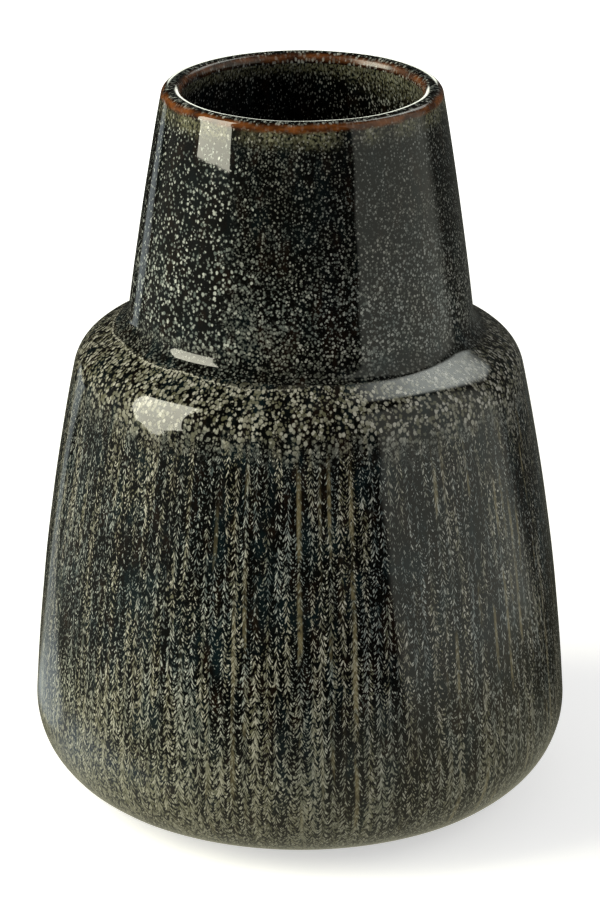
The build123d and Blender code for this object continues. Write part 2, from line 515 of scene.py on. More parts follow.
def new_group(name, inputs, outputs):
    group = bpy.data.node_groups.new(name, "ShaderNodeTree")
    for label, kind in inputs.items():
        group.interface.new_socket(label, in_out="INPUT", socket_type=kind)
    for label, kind in outputs.items():
        group.interface.new_socket(label, in_out="OUTPUT", socket_type=kind)
    taken = group.nodes.new("NodeGroupInput").outputs
    given = group.nodes.new("NodeGroupOutput").inputs
    return Tree(group), taken, given


# Effects that the glazes share, in millimetres on the surface.
# A pair is the two ends of a soft step or a spread, or, where it wanders or is ragged, size and reach.

RUN_BEND_SIZE = 9.0
RUN_BEND_DRAW = 0.05
RUN_LAG_POWER = 1.5
SPECK_FRAY_SIZE = 0.55
SPECK_SIZES = (0.6, 1.25)
SPECK_SOFT_OUTSIDE = 0.10
SPECK_SOFT_INSIDE = 0.16
BLACK_GLAZE = tint(5, 5, 4)
TEAL_GLAZE = tint(12, 24, 27)
BROWN_GLAZE = tint(24, 15, 8)
CLOUD_DRAW = 0.45
TEAL_CLOUD_SIZE = 5.5
TEAL_CLOUDS = (0.46, 0.72)
BROWN_CLOUD_SIZE = 3.8
BROWN_CLOUDS = (0.50, 0.74)
BROWN_CLOUD_SHIFT = (31.0, 17.0, 53.0)
OVERLAP_RING = 50.0
OVERLAP_BELOW_SEAM = 0.9
OVERLAP_WANDER = (24.0, 7.0)
OVERLAP_RAGGED = (2.4, 1.6)
OVERLAP_HALF_WIDTH = (0.34, 0.06)
OVERLAP_BREAKS = (0.34, 0.62)
OVERLAP_BREAK_SIZE = 1.1
LIP_EDGE_RING = 36.0
RUST_RISE = 0.35
RUST_WANDER = (9.0, 1.4)
RUST_RAGGED = (1.0, 0.7)
RUST_OUTER_START = (-0.8, 0.6)
RUST_OUTER_END = (2.7, 1.2)
RUST_INNER_START = (0.6, 2.4)
RUST_INNER_END = (0.4, -2.2)
RUST_STREAK_RING = 14.0
RUST_STREAK_SIZE = 2.0
RUST_GAPS = (0.15, 0.40)
RUST_SHADES = (0.32, 0.70)
RUST_DARK = tint(58, 30, 13)
RUST_BRIGHT = tint(118, 68, 30)


def make_runs_group():
    """Glaze that ran down in narrow columns, furthest in the middle of each, and the pattern that it carries.

    Side goes from 0 in the middle of a column to 1 at its border. Chance is drawn once for each border.
    """
    t, taken, given = new_group(
        "glaze_runs",
        {"Flow": VECTOR, "Columns": VALUE, "Wander": VALUE, "Pull": VALUE},
        {"Flow": VECTOR, "Side": VALUE, "Chance": VALUE},
    )
    around = t.split(taken["Flow"])
    turn = t.times(t.math("ARCTAN2", around["Y"], around["X"]), 1 / (2 * pi))
    bend = t.sway(t.drawn_out(taken["Flow"], RUN_BEND_DRAW), RUN_BEND_SIZE, taken["Wander"], 1.5)
    column = t.add(t.times(turn, taken["Columns"]), bend)
    side = t.math("PINGPONG", t.times(column, 2.0), 1.0)
    border = t.math("FLOORED_MODULO", t.math("ROUND", t.add(column, 0.5)), taken["Columns"])
    lag = t.times(t.math("POWER", side, RUN_LAG_POWER), taken["Pull"])
    t.feed(given["Flow"], t.vector("SUBTRACT", taken["Flow"], t.combine(0.0, 0.0, lag)))
    t.feed(given["Side"], side)
    chance = t.node("ShaderNodeTexWhiteNoise", {"W": border}, noise_dimensions="1D").outputs["Value"]
    t.feed(given["Chance"], chance)


def make_specks_group():
    """Specks that crystals leave in the glaze: their mask and a chance tone for each."""
    t, taken, given = new_group(
        "glaze_specks",
        {"Flow": VECTOR, "Across": VALUE, "Along": VALUE, "Fill": VALUE, "Fray": VALUE},
        {"Mask": VALUE, "Tone": VALUE},
    )
    size = t.combine(taken["Across"], taken["Across"], taken["Along"])
    place = t.vector("DIVIDE", taken["Flow"], size)
    fray = t.vector("SUBTRACT", t.noise(place, SPECK_FRAY_SIZE, 1.5, "Color"), (0.5, 0.5, 0.5))
    amount = t.combine(taken["Fray"], taken["Fray"], taken["Fray"])
    place = t.vector("ADD", place, t.vector("MULTIPLY", fray, amount))
    cell = t.cells(place)
    chance = t.split(cell["Color"])
    reach = t.times(taken["Fill"], t.spread(chance[0], *SPECK_SIZES))
    outside, inside = t.add(reach, SPECK_SOFT_OUTSIDE), t.take(reach, SPECK_SOFT_INSIDE)
    t.feed(given["Mask"], t.soft_step(cell["Distance"], outside, inside))
    t.feed(given["Tone"], chance[1])


def make_ground_group():
    """The dark glaze between the specks: near black, with clouds of teal and brown."""
    t, taken, given = new_group(
        "glaze_ground", {"Flow": VECTOR, "Teal": VALUE, "Brown": VALUE}, {"Color": COLOR}
    )
    place = t.drawn_out(taken["Flow"], CLOUD_DRAW)
    teal = t.times(t.soft_step(t.noise(place, TEAL_CLOUD_SIZE, 2.0), *TEAL_CLOUDS), taken["Teal"])
    shifted = t.vector("ADD", place, BROWN_CLOUD_SHIFT)
    brown = t.times(t.soft_step(t.noise(shifted, BROWN_CLOUD_SIZE, 2.0), *BROWN_CLOUDS), taken["Brown"])
    color = t.blend(teal, BLACK_GLAZE, TEAL_GLAZE)
    t.feed(given["Color"], t.blend(brown, color, BROWN_GLAZE))


def on_ring(t, flow, radius):
    """The place of a point round the axis, on a ring of the same radius for every coat."""
    flat = t.vector("MULTIPLY", flow, (1, 1, 0))
    direction = t.node("ShaderNodeVectorMath", {0: flat}, operation="NORMALIZE").outputs[0]
    return t.vector("MULTIPLY", direction, (radius, radius, 0))


def make_overlap_group():
    """Where the neck's glaze ends over the body's: a thin pale line that wanders round just under the neck.

    Above is the height over that line in millimetres.
    """
    t, taken, given = new_group("glaze_overlap", {"Flow": VECTOR}, {"Line": VALUE, "Above": VALUE})
    ring = on_ring(t, taken["Flow"], OVERLAP_RING)
    place = t.vector("ADD", ring, taken["Flow"])
    slow, quick = t.sway(ring, *OVERLAP_WANDER), t.sway(place, *OVERLAP_RAGGED, 2.0)
    over_seam = t.take(t.split(taken["Flow"])["Z"], RUN["seam"] - OVERLAP_BELOW_SEAM)
    above = t.take(over_seam, t.add(slow, quick))
    t.feed(given["Above"], above)
    thin = t.soft_step(t.math("ABSOLUTE", above), *OVERLAP_HALF_WIDTH)
    whole = t.soft_step(t.noise(place, OVERLAP_BREAK_SIZE), *OVERLAP_BREAKS)
    t.feed(given["Line"], t.times(thin, whole))


def make_rust_group():
    """The lip, where the glaze ran thin and broke to rust: a band round its outer edge and one inside."""
    t, taken, given = new_group(
        "glaze_rust", {"Flow": VECTOR}, {"Outer": VALUE, "Inner": VALUE, "Color": COLOR}
    )
    flow = taken["Flow"]
    place = t.vector("ADD", on_ring(t, flow, LIP_EDGE_RING), t.vector("MULTIPLY", flow, (0, 0, RUST_RISE)))
    slow, quick = t.sway(place, *RUST_WANDER), t.sway(place, *RUST_RAGGED, 2.0)
    ragged = t.add(t.split(flow)["Z"], t.add(slow, quick))
    edge = RUN["lip_outer_edge"]
    outer = t.step_past(ragged, edge, *RUST_OUTER_START)
    outer = t.times(outer, t.step_past(ragged, edge, *RUST_OUTER_END))
    inner = t.step_past(ragged, RUN["lip_inner_edge"], *RUST_INNER_START)
    inner = t.times(inner, t.step_past(ragged, RUN["inner_neck"], *RUST_INNER_END))
    streaked = t.vector("ADD", on_ring(t, flow, RUST_STREAK_RING), t.vector("MULTIPLY", flow, (0, 0, 1)))
    streaks = t.noise(streaked, RUST_STREAK_SIZE, 4.0)
    t.feed(given["Outer"], t.times(outer, t.soft_step(streaks, *RUST_GAPS)))
    t.feed(given["Inner"], inner)
    t.feed(given["Color"], t.blend(t.soft_step(streaks, *RUST_SHADES), RUST_DARK, RUST_BRIGHT))


make_runs_group()
make_specks_group()
make_ground_group()
make_overlap_group()
make_rust_group()


# Glazes. Colours are given as they look on screen.

CREAM = tint(174, 172, 161)
PALE = tint(170, 173, 166)
GREY_GREEN = tint(102, 113, 109)
GREY_BLUE = tint(86, 101, 103)
TAN = tint(124, 115, 86)
OLIVE = tint(112, 111, 86)

GLOSS = 0.02
GLAZE_IOR = 1.5
BUMP_HEIGHT = 0.03 * MM
GLAZE_UNEVENNESS = 0.25
NECK_UNEVENNESS = 0.08
SPECK_RELIEF = 0.12
OVERLAP_SIDE = (0.62, 1.0)
OUTER_RUST_COVER = 0.9
INNER_RUST_COVER = 0.75

# Rings that the patterns are laid round
BODY_RING = 65 * MM
NECK_RING = 42 * MM
LIP_RING = 35 * MM
LINER_RING = 50 * MM

# Body glaze: columns and specks, and where they change, counted down from the seam
BODY_COLUMNS = 150
COLUMN_WANDER = 1.2
COLUMN_PULL = (0.8, 3.8)
COLUMN_PULL_SIZE = 14.0
TICK_SIZE = (0.64, 0.72)
TICK_FRAY = 0.30
SPOT_SIZE = (1.08, 1.2)
SPOT_FRAY = 0.6
RUNS_START = (8.0, 30.0)
RUNS_END = (150.0, 122.0)
LOW_WALL = (70.0, 125.0)
SHOULDER_END = (26.0, 13.0)
SHOULDER_RAGGED = (6.0, 14.0)
STRANDS_START = (16.0, 34.0)
STRAND_COVER = 0.60

# Neck glaze: specks, and where they change, counted from the lip, the foot of the neck or the axis
LARGE_SIZE = (1.0, 1.12)
SMALL_SIZE = (0.70, 0.80)
NECK_FRAY = 0.6
UNDER_LIP = (-6.0, -1.5)
NECK_TOP = 18.0
NECK_LOW = 6.0
NEAR_SEAM = (8.0, 0.0)
FINE_NEAR_SEAM = (4.0, -1.0)
FINE_SIDE = (-22.0, -2.0)
FINE_SIDE_RAGGED = (8.0, 26.0)
IN_HOLLOW = (1.0, -2.0)
WARM_SHIFT = (3.0, 9.0, 27.0)
MIST_COVER = 0.75

# Lip and liner glazes: specks, and how far down from the rim the liner's haze reaches
LIP_SPECK_SIZE = (0.78, 0.78)
LIP_DRAW = 0.6
LINER_SPECK_SIZE = (0.92, 1.15)
NEAR_RIM = (7.0, 1.0)
# Painted light: the liner's right side, which faces the softbox, gets more specks and a longer haze
LINER_PAINTED_LIGHT_SIDE = (5.0, 45.0)
HAZE_START = 1.0
HAZE_REACH = 4.0
# How far down the haze reaches on that side, as painted light
HAZE_PAINTED_LIGHT_REACH = 13.0
HAZE_GRAIN_SIZE = 0.8
HAZE_GRAIN = (0.40, 0.64)
HAZE_COVER = 0.6


def new_material(name):
    material = bpy.data.materials.new(name)
    material.use_nodes = True
    t = Tree(material.node_tree)
    shader = material.node_tree.nodes["Principled BSDF"]
    return material, t, shader


def finish_glaze(t, shader, color, height, unevenness=GLAZE_UNEVENNESS):
    """The glassy surface that all the glazes share: the colour under it, and a faint unevenness in it."""
    shader.inputs["IOR"].default_value = GLAZE_IOR
    shader.inputs["Roughness"].default_value = GLOSS
    t.feed(shader.inputs["Base Color"], color)
    bump = t.node("ShaderNodeBump", {"Height": height, "Strength": unevenness, "Distance": BUMP_HEIGHT})
    t.feed(shader.inputs["Normal"], bump.outputs["Normal"])


def flow_of(t):
    """Where a point lies on the coat in millimetres: round a ring of even width, and along the run."""
    return t.node("ShaderNodeAttribute", {}, attribute_name="glaze_flow").outputs["Vector"]


def heavy_side(t, flow, ring_radius):
    """1 in the middle of the heavy side, falling to 0.5 a quarter turn away, and 0.5 on the far side."""
    around = t.split(flow)
    reach = ring_radius / MM
    along = t.add(t.times(around["X"], HEAVY_SIDE.x / reach), t.times(around["Y"], HEAVY_SIDE.y / reach))
    return t.spread(along, 0.5, 1.0)


def body_thickness(t, flow, heavy, low, veins):
    """How thick the glaze lies on the body, which sets how large its ticks and spots grow."""
    clouds = t.noise(t.drawn_out(flow, 0.12), 5.0, 2.0)
    patches = t.soft_step(t.noise(t.drawn_out(flow, 0.35), 7.0), 0.32, 0.68)
    thick = t.add(t.spread(clouds, 0.15, 0.55), t.times(t.add(heavy, t.times(low, 1.6)), 0.05))
    thick = t.add(thick, t.spread(patches, -0.06, 0.06))
    return t.add(thick, t.add(t.spread(veins, -0.04, 0.04), t.times(low, heavy, 0.13)))


def tan_strands(t, flow, runs, drop, heavy):
    """Broken strands of tan glaze on the borders of some columns, fewer on the heavy side."""
    along = t.noise(t.drawn_out(flow, 0.16), 3.0)
    return t.times(
        t.soft_step(runs["Side"], 0.48, 0.82),
        t.soft_step(runs["Chance"], 0.36, 0.56),
        t.soft_step(along, 0.46, 0.62),
        t.soft_step(drop, *STRANDS_START),
        t.soft_step(heavy, 0.96, 0.76),
        t.soft_step(t.noise(t.drawn_out(runs["Flow"], 0.5), 0.9), 0.22, 0.56),
    )


def body_glaze_material():
    material, t, shader = new_material("body_glaze")
    flow = flow_of(t)
    drop = t.take(RUN["seam"], t.split(flow)["Z"])
    heavy = heavy_side(t, flow, BODY_RING)
    low = t.soft_step(drop, *LOW_WALL)
    running = t.between(drop, RUNS_START, RUNS_END)
    pull = t.times(running, t.spread(t.noise(flow, COLUMN_PULL_SIZE), *COLUMN_PULL))
    runs = t.group("glaze_runs", Flow=flow, Columns=BODY_COLUMNS, Wander=COLUMN_WANDER, Pull=pull)
    veins = t.soft_step(t.noise(t.drawn_out(flow, 0.09), 3.0), 0.40, 0.60)
    thick = body_thickness(t, flow, heavy, low, veins)
    ridge = t.times(running, t.spread(runs["Side"], -0.07, 0.09))
    ticks = t.specks(runs["Flow"], TICK_SIZE, t.add(thick, ridge), TICK_FRAY)
    spots = t.specks(flow, SPOT_SIZE, t.add(t.times(thick, 0.6), 0.31), SPOT_FRAY)
    ragged_drop = t.add(drop, t.sway(flow, *SHOULDER_RAGGED))
    on_shoulder = t.soft_step(ragged_drop, *SHOULDER_END)
    mask = t.blend_value(on_shoulder, ticks["Mask"], spots["Mask"])
    tone = t.blend_value(on_shoulder, ticks["Tone"], spots["Tone"])
    overlap = t.group("glaze_overlap", Flow=flow)
    over_line = t.soft_step(overlap["Above"], -0.2, 0.5)
    ground = t.group("glaze_ground", Flow=flow, Teal=t.most(0.8, over_line), Brown=0.7)["Color"]
    warm = t.most(t.most(veins, on_shoulder), t.times(low, t.spread(heavy, 0.2, 1.0)))
    speck_color = t.blend(warm, t.blend(tone, GREY_BLUE, PALE), t.blend(tone, OLIVE, CREAM))
    speck_color = t.blend(t.times(low, 0.45), speck_color, OLIVE)
    strength = t.times(mask, t.times(t.spread(tone, 0.48, 1.0), t.spread(on_shoulder, 1.0, 0.85)))
    strength = t.times(strength, t.take(1.0, t.times(over_line, 0.6)))
    color = t.blend(strength, ground, speck_color)
    strands = tan_strands(t, flow, runs, drop, heavy)
    color = t.blend(t.times(strands, STRAND_COVER), color, TAN)
    color = t.blend(t.times(overlap["Line"], t.soft_step(heavy, *OVERLAP_SIDE)), color, CREAM)
    height = t.add(t.noise(flow, 3.0), t.times(mask, SPECK_RELIEF))
    finish_glaze(t, shader, color, height)
    return material


def olive_mist(t, flow, under_lip):
    """Patches of fine olive grain under the lip."""
    patches = t.soft_step(t.noise(on_ring(t, flow, LIP_EDGE_RING), 9.0), 0.36, 0.60)
    grain = t.soft_step(t.noise(flow, 0.8, 3.0), 0.34, 0.66)
    return t.times(under_lip, patches, grain)


def neck_glaze_material():
    material, t, shader = new_material("neck_glaze")
    flow = flow_of(t)
    run = t.split(flow)["Z"]
    edge, foot = RUN["lip_outer_edge"], RUN["neck"]
    heavy = heavy_side(t, flow, NECK_RING)
    under_lip = t.step_past(run, edge, *UNDER_LIP)
    lower = t.soft_step(run, edge - NECK_TOP, foot + NECK_LOW)
    near_seam = t.step_past(run, foot, *NEAR_SEAM)
    clouds = t.noise(flow, 9.0, 2.0)
    ragged_side = t.add(t.split(flow)["X"], t.sway(flow, *FINE_SIDE_RAGGED, 2.0))
    fine = t.most(t.soft_step(ragged_side, *FINE_SIDE), t.step_past(run, foot, *FINE_NEAR_SEAM))
    large_fill = t.add(t.spread(clouds, 0.20, 0.46), t.times(lower, 0.10))
    small_fill = t.add(t.spread(clouds, 0.26, 0.52), t.times(t.most(lower, under_lip), 0.08))
    large = t.specks(flow, LARGE_SIZE, large_fill, NECK_FRAY)
    small = t.specks(flow, SMALL_SIZE, small_fill, NECK_FRAY)
    mask = t.blend_value(fine, large["Mask"], small["Mask"])
    tone = t.blend_value(fine, large["Tone"], small["Tone"])
    teal = t.add(0.35, t.times(near_seam, 0.6))
    ground = t.group("glaze_ground", Flow=flow, Teal=teal, Brown=0.6)["Color"]
    patches = t.soft_step(t.noise(t.vector("ADD", flow, WARM_SHIFT), 12.0), 0.35, 0.65)
    warm = t.most(t.times(fine, t.times(patches, 0.5)), under_lip)
    speck_color = t.blend(warm, t.blend(tone, GREY_GREEN, PALE), t.blend(tone, OLIVE, CREAM))
    fine_strength = t.add(t.spread(tone, 0.10, 0.44), t.times(lower, 0.26))
    strength = t.times(mask, t.blend_value(fine, t.spread(tone, 0.42, 1.0), fine_strength))
    in_hollow = t.step_past(run, foot, *IN_HOLLOW)
    strength = t.times(strength, t.take(1.0, t.times(in_hollow, 0.5)))
    color = t.blend(t.times(olive_mist(t, flow, under_lip), MIST_COVER), ground, OLIVE)
    color = t.blend(strength, color, speck_color)
    overlap = t.group("glaze_overlap", Flow=flow)
    color = t.blend(t.times(overlap["Line"], t.soft_step(heavy, *OVERLAP_SIDE)), color, CREAM)
    rust = t.group("glaze_rust", Flow=flow)
    color = t.blend(t.times(rust["Outer"], OUTER_RUST_COVER), color, rust["Color"])
    height = t.add(t.noise(flow, 3.0), t.times(mask, SPECK_RELIEF))
    finish_glaze(t, shader, color, height, NECK_UNEVENNESS)
    return material


def lip_glaze_material():
    material, t, shader = new_material("lip_glaze")
    flow = flow_of(t)
    specks = t.specks(t.drawn_out(flow, LIP_DRAW), LIP_SPECK_SIZE, 0.45, 0.4)
    ground = t.group("glaze_ground", Flow=flow, Teal=0.5, Brown=0.8)["Color"]
    speck_color = t.blend(specks["Tone"], GREY_GREEN, PALE)
    color = t.blend(t.times(specks["Mask"], t.spread(specks["Tone"], 0.3, 0.9)), ground, speck_color)
    rust = t.group("glaze_rust", Flow=flow)
    rusty = t.most(t.times(rust["Outer"], OUTER_RUST_COVER), t.times(rust["Inner"], INNER_RUST_COVER))
    color = t.blend(rusty, color, rust["Color"])
    height = t.add(t.noise(flow, 2.0), t.times(specks["Mask"], SPECK_RELIEF))
    finish_glaze(t, shader, color, height)
    t.feed(shader.inputs["Roughness"], t.spread(rust["Inner"], GLOSS, 0.30))
    return material


def liner_haze(t, flow, run, painted_light_side):
    """Fine olive grain under the rim, and further down on the softbox-lit right side as painted light."""
    rim = RUN["inner_neck"]
    haze_end = t.spread(painted_light_side, rim + HAZE_REACH, rim + HAZE_PAINTED_LIGHT_REACH)
    grain = t.soft_step(t.noise(flow, HAZE_GRAIN_SIZE, 3.0), *HAZE_GRAIN)
    return t.times(t.soft_step(run, haze_end, rim + HAZE_START), t.times(grain, HAZE_COVER))


def liner_glaze_material():
    material, t, shader = new_material("liner_glaze")
    flow = flow_of(t)
    run = t.split(flow)["Z"]
    near_rim = t.step_past(run, RUN["inner_neck"], *NEAR_RIM)
    # Painted light: the inside right, which the softbox lights, is painted with more specks and haze
    painted_light_side = t.soft_step(t.split(flow)["X"], *LINER_PAINTED_LIGHT_SIDE)
    # More specks near the rim, the glaze's own, and on the lit right side as painted light
    fill = t.add(t.spread(t.noise(flow, 10.0), 0.14, 0.40), t.times(t.most(near_rim, painted_light_side), 0.17))
    specks = t.specks(flow, LINER_SPECK_SIZE, fill, 0.45)
    ground = t.group("glaze_ground", Flow=flow, Teal=0.4, Brown=0.6)["Color"]
    speck_color = t.blend(t.times(near_rim, 0.6), PALE, OLIVE)
    color = t.blend(liner_haze(t, flow, run, painted_light_side), ground, OLIVE)
    color = t.blend(t.times(specks["Mask"], t.spread(specks["Tone"], 0.2, 0.70)), color, speck_color)
    rust = t.group("glaze_rust", Flow=flow)
    color = t.blend(t.times(rust["Inner"], INNER_RUST_COVER), color, rust["Color"])
    finish_glaze(t, shader, color, t.noise(flow, 3.0))
    t.feed(shader.inputs["Roughness"], t.spread(rust["Inner"], GLOSS, 0.35))
    return material


# Bare clay

BUFF_CLAY = tint(150, 118, 88)
PALE_CLAY = tint(184, 152, 116)
IRON_SPECK = tint(66, 44, 30)
CLAY_ROUGHNESS = 0.85
GROG_SIZE = (0.9, 0.9)
TOOTH_SIZE = 0.5
TOOTH_HEIGHT = 0.08 * MM


def stoneware_material():
    """Bare fired clay, as the foot ring shows it: warm buff with dark iron specks and a sandy tooth."""
    material, t, shader = new_material("bare_stoneware")
    place = t.node("ShaderNodeTexCoord", {}).outputs["Object"]
    place = t.vector("DIVIDE", place, (MM, MM, MM))
    clouds = t.noise(place, 7.0, 3.0)
    grog = t.specks(place, GROG_SIZE, 0.26, 0.3)
    color = t.blend(clouds, BUFF_CLAY, PALE_CLAY)
    color = t.blend(t.times(grog["Mask"], 0.75), color, IRON_SPECK)
    t.feed(shader.inputs["Base Color"], color)
    shader.inputs["Roughness"].default_value = CLAY_ROUGHNESS
    tooth = t.noise(place, TOOTH_SIZE, 3.0)
    bump = t.node("ShaderNodeBump", {"Height": tooth, "Strength": 0.5, "Distance": TOOTH_HEIGHT})
    t.feed(shader.inputs["Normal"], bump.outputs["Normal"])
    return material


# Pieces

def place_coats():
    coats = [
        ("body_glaze", "rolled_edge", "seam", BODY_RING, 2, body_glaze_material()),
        ("neck_glaze", "seam", "lip_outer_edge", NECK_RING, 2, neck_glaze_material()),
        ("lip_glaze", "lip_outer_edge", "inner_neck", LIP_RING, 4, lip_glaze_material()),
        ("liner_glaze", "inner_neck", "floor_middle", LINER_RING, 2, liner_glaze_material()),
    ]
    for node, first, last, ring_radius, strips, material in coats:
        coat = glaze_coat(f"{node}_coat", first, last, ring_radius, strips, material)
        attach(coat, "root")
        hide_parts(node)
        part, where = node.split("_")


def dress_clay():
    clay = stoneware_material()
    for node in ("body_section", "neck_section", "luting_slip", "luting_coil"):
        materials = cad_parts[node].data.materials
        materials.clear()
        materials.append(clay)


# Studio, in metres

DISC_STEPS = 96
DISC_MIDDLE = 0.3
FLOOR_RADIUS = 8.0
FLOOR_HOLE = 0.0001
FLOOR_COLORS = (tint(238, 238, 236), tint(242, 242, 241))
FLOOR_CLOUD_SIZE = 0.4
FLOOR_LIFT = 0.52
WIDE_FLOOR_LIFT = 0.95
WIDE_FLOOR = (0.30, 0.80)
FAR_FLOOR_LIFT = 0.50
FAR_FLOOR = (1.2, 3.0)
BACKDROP_LEVEL = 0.76
WORLD_FILL = 0.30

# Tall softbox on the left, by the directions to its corners
KEY_CORNERS = [(-88, -2.7), (-56, -0.2), (-70, 52), (-104, 38)]
KEY_DISTANCE = 1.6
KEY_TARGET = Vector((-0.03, -0.03, 0.188))
KEY_LOW_LEVEL = 8.8
KEY_HIGH_LEVEL = 10.5
KEY_HEIGHTS = (0.1, 1.1)
KEY_COLOR = (1.0, 0.98, 0.80, 1.0)

# Lamp on the right
SIDE_LAMP_AZIMUTH = 78
SIDE_LAMP_DISTANCE = 1.0
SIDE_LAMP_SIZE = 1.4
SIDE_LAMP_RADIANCE = 0.75
SIDE_LAMP_TARGET = Vector((0, 0, 0.72))

# What the glaze mirrors round the vase, by azimuth and elevation in degrees
SURROUND_RADIUS = 2.6
SURROUND_HOLE = 0.001
SURROUND_STEP = 6
SURROUND_TOP = 89.9
SURROUND_COLOR = (0.97, 1.0, 0.86, 1.0)
DARK_LEVEL = 0.02
SCREEN_SIDES = ((38.0, 41.0), (119.0, 104.0))
SCREEN_TOP = (63.0, 54.0)
SCREEN_LEVEL = 0.66
DIM_SIDES = ((100.0, 118.0), (176.0, 158.0))
DIM_LEVEL = 0.05
PATCH_SIDES = ((120.0, 133.0), (150.0, 143.0))
PATCH_HEIGHTS = ((28.0, 33.0), (75.0, 58.0))
PATCH_RISE = (30.0, 50.0)
PATCH_LEVELS = (1.9, 4.2)
PATCH_COLOR = (0.95, 1.0, 0.93, 1.0)
FILL_SIDES = ((-35.0, -75.0), (-132.0, -120.0))
FILL_TOP = (50.0, 12.0)
FILL_LEVEL = 0.17
PAPER_SIDE = (168.0, 172.0)
PAPER_HEIGHTS = ((3.0, 5.0), (18.0, 14.0))
PAPER_LEVEL = 3.5

# The table near the vase, as the glaze mirrors it
TABLE_COLOR = (1.0, 0.98, 0.72, 1.0)
TABLE_LEVEL = 0.05
TABLE_FRONT = (0.06, -0.04)
TABLE_FRONT_LEVEL = 0.33
TABLE_SHADED = (0.0, 0.1)
TABLE_OUTER_REACH = (0.27, 0.32)
TABLE_INNER_REACH = (0.08, 0.15)
TABLE_ELEVATION = (1.0, 0.2)
LIT_TABLE_COLOR = (0.86, 0.97, 0.99, 1.0)
STRIP_EDGE = 0.048
STRIP_SLANT = 0.615
STRIP_FAR = (0.25, 0.55)
STRIP_WIDTHS = (0.045, 0.20)
STRIP_NEAR = (0.14, 0.08)
STRIP_NEAR_WIDTH = 0.02
STRIP_LEVEL = 0.40
STRIP_CLOSE = (0.10, 0.03)
STRIP_CLOSE_LEVEL = 0.55
STRIP_FAR_LEVEL = 0.25
STRIP_REACH = (0.085, 0.115)
STRIP_START = (0.0, 0.02)
OPEN_TABLE_BACK = (0.03, -0.02)
OPEN_TABLE_EDGE = (0.01, 0.05)
OPEN_TABLE_SIDE = (-20.0, -80.0)
OPEN_TABLE_REACH = (0.17, 0.12)
OPEN_TABLE_LEVEL = 0.9

# Camera
CAMERA_ELEVATION = radians(20.72)
CAMERA_DISTANCE = 1.131
CAMERA_TARGET = Vector((0, 0, 96.31 * MM))
CAMERA_LENS = 164.7
CAMERA_SENSOR = 36


def seen_or_mirrored(t):
    """1 for the rays that show the background: straight from the camera, mirrored, or through glass."""
    path = t.node("ShaderNodeLightPath", {}).outputs
    shown = t.most(path["Is Camera Ray"], path["Is Glossy Ray"])
    return t.most(shown, path["Is Transmission Ray"])


def disc(name, rings, material):
    """A turned sheet through rings of radius and height."""
    angles = [2 * pi * step / DISC_STEPS for step in range(DISC_STEPS)]
    points = [(radius * cos(a), radius * sin(a), z) for radius, z in rings for a in angles]
    faces = []
    for ring in range(len(rings) - 1):
        for step in range(DISC_STEPS):
            beside = (step + 1) % DISC_STEPS
            low, high = ring * DISC_STEPS, (ring + 1) * DISC_STEPS
            faces.append((low + step, low + beside, high + beside, high + step))
    sheet = linked(name, new_mesh(name, points, faces, material))
    return sheet


def reach_of(t, place):
    """How far a place lies from the axis."""
    return t.math("SQRT", t.add(t.times(place["X"], place["X"]), t.times(place["Y"], place["Y"])))


def floor_material():
    material, t, shader = new_material("pale_floor")
    place = t.node("ShaderNodeTexCoord", {}).outputs["Object"]
    clouds = t.noise(place, FLOOR_CLOUD_SIZE, 2.0)
    t.feed(shader.inputs["Base Color"], t.blend(clouds, *FLOOR_COLORS))
    shader.inputs["Roughness"].default_value = 1.0
    shader.inputs["Specular IOR Level"].default_value = 0.0
    shader.inputs["Emission Color"].default_value = (1, 1, 1, 1)
    reach = reach_of(t, t.split(place))
    lift = t.spread(t.soft_step(reach, *WIDE_FLOOR), FLOOR_LIFT, WIDE_FLOOR_LIFT)
    lift = t.blend_value(t.soft_step(reach, *FAR_FLOOR), lift, FAR_FLOOR_LIFT)
    t.feed(shader.inputs["Emission Strength"], t.times(seen_or_mirrored(t), lift))
    return material


def only_mirrored(sheet):
    """Shows a sheet in the glaze's reflections, and nowhere else."""
    sheet.visible_camera = False
    sheet.visible_diffuse = False
    sheet.visible_shadow = False


def glowing_material(name):
    material, t, shader = new_material(name)
    shader.inputs["Base Color"].default_value = (0, 0, 0, 1)
    shader.inputs["Specular IOR Level"].default_value = 0.0
    place = t.split(t.node("ShaderNodeTexCoord", {}).outputs["Object"])
    return material, t, shader, place


def lit_strip(t, back, past_edge, reach):
    """The strip of table that the softbox lights: it leads away from the vase, back and to the left."""
    far = t.soft_step(back, *STRIP_FAR)
    near_width = t.times(t.soft_step(back, *STRIP_NEAR), STRIP_NEAR_WIDTH)
    width = t.add(t.spread(far, *STRIP_WIDTHS), near_width)
    strip = t.soft_step(past_edge, t.spread(far, -0.008, -0.03), t.spread(far, 0.014, 0.06))
    strip = t.times(strip, t.soft_step(past_edge, t.add(width, t.spread(far, 0.025, 0.10)), width))
    close = t.times(t.soft_step(back, *STRIP_CLOSE), STRIP_CLOSE_LEVEL)
    level = t.add(STRIP_LEVEL, t.add(close, t.times(far, STRIP_FAR_LEVEL)))
    level = t.times(level, t.soft_step(back, *STRIP_START))
    return t.times(strip, t.soft_step(reach, *STRIP_REACH), level)


def lit_table(t, place, azimuth, reach):
    """How bright the table is where the softbox lights it: a strip behind the vase, and its left side."""
    back = place["Y"]
    past_edge = t.take(t.times(place["X"], -1.0), t.add(STRIP_EDGE, t.times(back, STRIP_SLANT)))
    strip = lit_strip(t, back, past_edge, reach)
    open_table = t.times(
        t.soft_step(back, *OPEN_TABLE_BACK),
        t.soft_step(past_edge, *OPEN_TABLE_EDGE),
        t.soft_step(azimuth, *OPEN_TABLE_SIDE),
        t.soft_step(reach, *OPEN_TABLE_REACH),
        OPEN_TABLE_LEVEL,
    )
    return t.add(strip, open_table)


